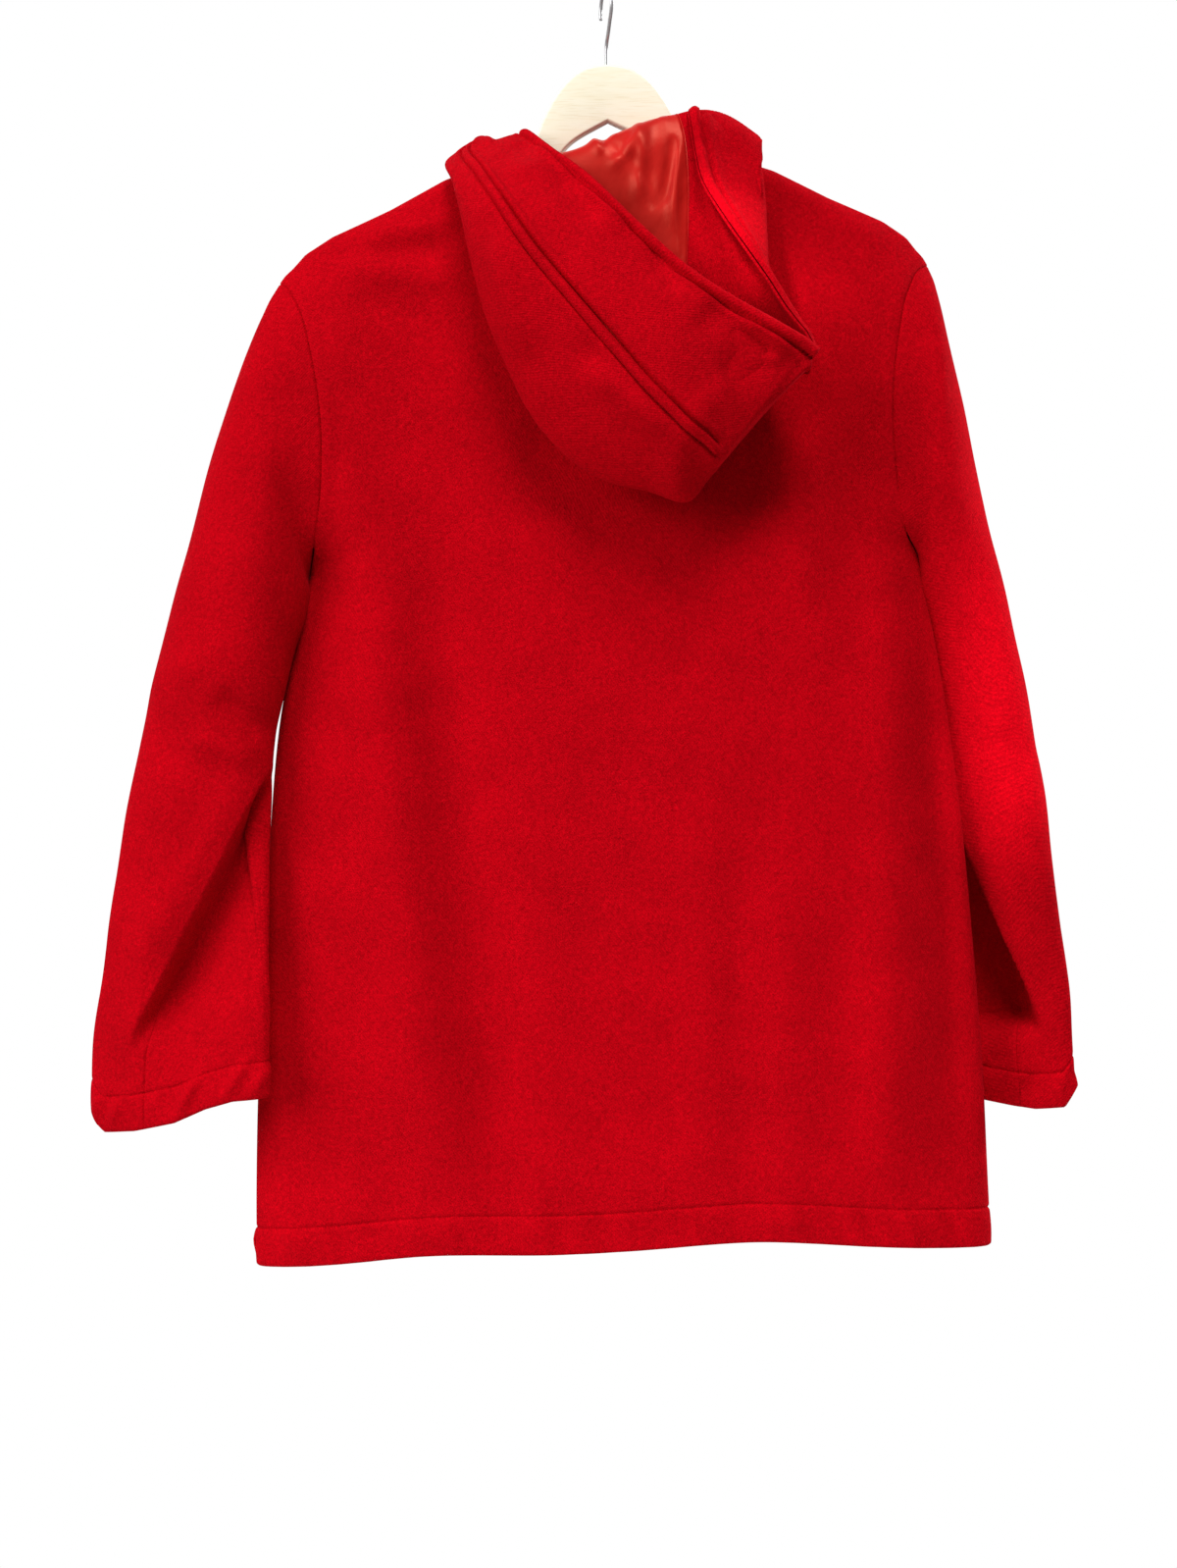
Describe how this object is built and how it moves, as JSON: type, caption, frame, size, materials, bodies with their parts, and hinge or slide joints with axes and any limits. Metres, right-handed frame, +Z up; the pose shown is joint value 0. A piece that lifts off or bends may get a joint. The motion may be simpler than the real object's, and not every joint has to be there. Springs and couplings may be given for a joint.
{
  "type": "hooded wool jacket on a hanger",
  "caption": "Short hooded coat of felted wool with two-piece sleeves and a satin-lined hood thrown back, hanging on a flat wooden hanger with a wire hook.",
  "frame": {"origin": "bearing point inside the top of the hanger's hook, where a rail holds it", "axes": "+Z up; +Y out of the jacket's back, so its front faces -Y; +X to the wearer's left. The jacket and the wood hang about 1.6 degrees lower at the wearer's left"},
  "size_m": [0.7028, 0.1926, 0.9149],
  "materials": {
    "wool": "felted red wool, matte, with a fine nap",
    "satin": "orange-red satin, soft sheen",
    "wood": "pale wood, light satin lacquer",
    "wire": "polished",
    "button": "dark red, satin"
  },
  "bodies": {
    "root": {"back": "wool", "front_left": "wool", "front_right": "wool", "sleeve_left_top": "wool", "sleeve_left_under": "wool", "sleeve_right_top": "wool", "sleeve_right_under": "wool", "hood_left": "wool", "hood_gusset": "wool", "hood_right": "wool", "hood_lining": "satin", "hood_facing_left": "wool", "hood_facing_right": "wool", "hanger": "wood", "hook": "wire", "button_1": "button", "button_2": "button", "button_3": "button", "button_4": "button", "button_5": "button"}
  },
  "joints": []
}
